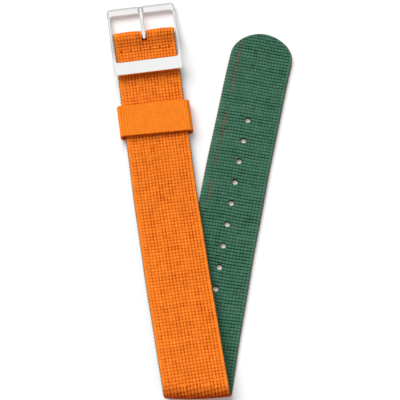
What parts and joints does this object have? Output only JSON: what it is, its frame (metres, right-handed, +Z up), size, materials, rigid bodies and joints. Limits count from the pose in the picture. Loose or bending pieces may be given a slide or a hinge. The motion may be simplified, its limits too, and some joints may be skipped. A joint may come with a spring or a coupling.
{
  "type": "watch strap",
  "caption": "One-piece woven watch strap with a polished tang buckle, spring bar, woven keeper loop and a row of punched holes, lying folded in two.",
  "frame": {"origin": "on the table, under the middle of the folded strap's outline", "axes": "+Y from the fold towards the buckle and the tip, +X to the right as seen from above with the buckle away from the viewer, +Z up from the table"},
  "size_m": [0.0596, 0.1304, 0.006],
  "materials": {
    "green_webbing": "woven, matte",
    "orange_webbing": "woven, matte",
    "keeper_webbing": "fine ribbed weave, matte",
    "thread": "twisted thread",
    "polished_steel": "polished",
    "bar_steel": "satin"
  },
  "bodies": {
    "tail": {"tail_webbing": "green_webbing"},
    "fold_1": {"fold_webbing_1": "orange_webbing"},
    "fold_2": {"fold_webbing_2": "orange_webbing"},
    "fold_3": {"fold_webbing_3": "orange_webbing"},
    "fold_4": {"fold_webbing_4": "orange_webbing"},
    "fold_5": {"fold_webbing_5": "orange_webbing"},
    "head": {"head_webbing": "orange_webbing", "loop_webbing": "orange_webbing", "loop_stitching": "thread"},
    "buckle": {"buckle_frame": "polished_steel", "spring_bar_tube": "bar_steel", "spring_bar_spring": "bar_steel"},
    "tang": {"buckle_tang": "polished_steel"},
    "tip_left": {"spring_bar_tip_left": "bar_steel"},
    "tip_right": {"spring_bar_tip_right": "bar_steel"},
    "keeper": {"keeper_loop": "keeper_webbing", "keeper_stitching": "thread"}
  },
  "joints": [
    {"name": "fold_open_1", "type": "hinge", "parent": "tail", "child": "fold_1", "pos_m": [-0.00178, -0.06222, 0], "axis": [1, 0, 0], "range_deg": [0, 30]},
    {"name": "fold_open_2", "type": "hinge", "parent": "fold_1", "child": "fold_2", "pos_m": [-0.00178, -0.06401, 0.00059], "axis": [1, 0, 0], "range_deg": [0, 30]},
    {"name": "fold_open_3", "type": "hinge", "parent": "fold_2", "child": "fold_3", "pos_m": [-0.00178, -0.06509, 0.00214], "axis": [1, 0, 0], "range_deg": [0, 30]},
    {"name": "fold_open_4", "type": "hinge", "parent": "fold_3", "child": "fold_4", "pos_m": [-0.00178, -0.06504, 0.00403], "axis": [1, 0, 0], "range_deg": [0, 30]},
    {"name": "fold_open_5", "type": "hinge", "parent": "fold_4", "child": "fold_5", "pos_m": [-0.00178, -0.06387, 0.00551], "axis": [1, 0, 0], "range_deg": [0, 30]},
    {"name": "fold_open_6", "type": "hinge", "parent": "fold_5", "child": "head", "pos_m": [-0.00178, -0.06204, 0.006], "axis": [1, 0, 0], "range_deg": [0, 30]},
    {"name": "buckle_swing", "type": "hinge", "parent": "head", "child": "buckle", "pos_m": [-0.01765, 0.05316, 0.0021], "axis": [-0.9929, -0.1192, 0], "range_deg": [-5, 110]},
    {"name": "tang_swing", "type": "hinge", "parent": "buckle", "child": "tang", "pos_m": [-0.01765, 0.05316, 0.0021], "axis": [0.9929, 0.1192, 0], "range_deg": [0, 90]},
    {"name": "tip_press_left", "type": "slide", "parent": "buckle", "child": "tip_left", "axis": [0.9929, 0.1192, 0], "range_m": [0, 0.0008], "stiffness_N_per_m": 300, "springref_m": -0.0008, "deforming": ["spring_bar_spring"]},
    {"name": "tip_press_right", "type": "slide", "parent": "buckle", "child": "tip_right", "axis": [-0.9929, -0.1192, 0], "range_m": [0, 0.0008], "stiffness_N_per_m": 300, "springref_m": -0.0008, "deforming": ["spring_bar_spring"]},
    {"name": "keeper_slide", "type": "slide", "parent": "head", "child": "keeper", "axis": [-0.1192, 0.9929, 0], "range_m": [-0.013, 0.01]}
  ]
}
